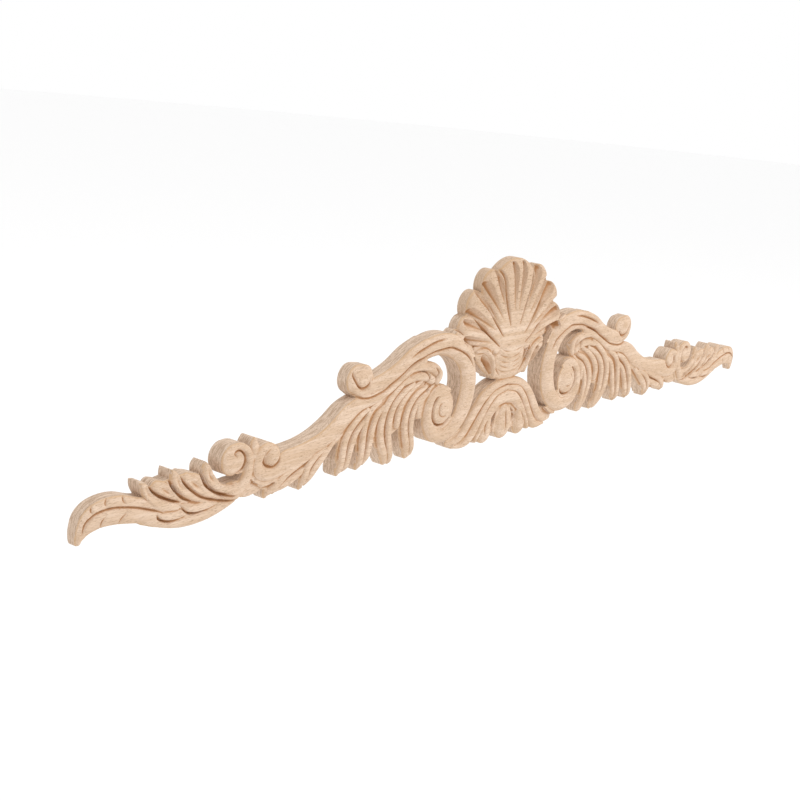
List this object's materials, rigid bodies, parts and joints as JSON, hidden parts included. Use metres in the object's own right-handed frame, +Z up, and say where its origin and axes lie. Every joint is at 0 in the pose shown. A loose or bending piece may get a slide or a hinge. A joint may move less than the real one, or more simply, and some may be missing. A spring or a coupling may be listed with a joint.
{
  "type": "carved wood pediment applique",
  "caption": "Flat-backed carved wood applique: a scallop shell over an arched fan, with acanthus and scroll wings running out to leaf ends",
  "frame": {"origin": "on the flat back, on the middle line, where the shell's heart, the calyx leaves and the fan come together", "axes": "+X runs along the applique to the viewer's right, +Z points up to the top of the shell, and the carved front faces -Y, so the flat back faces +Y"},
  "size_m": [0.5998, 0.0116, 0.1028],
  "materials": {
    "pale_wood": "unfinished pale hardwood, sanded and matt"
  },
  "bodies": {
    "root": {"applique": "pale_wood"}
  },
  "joints": []
}
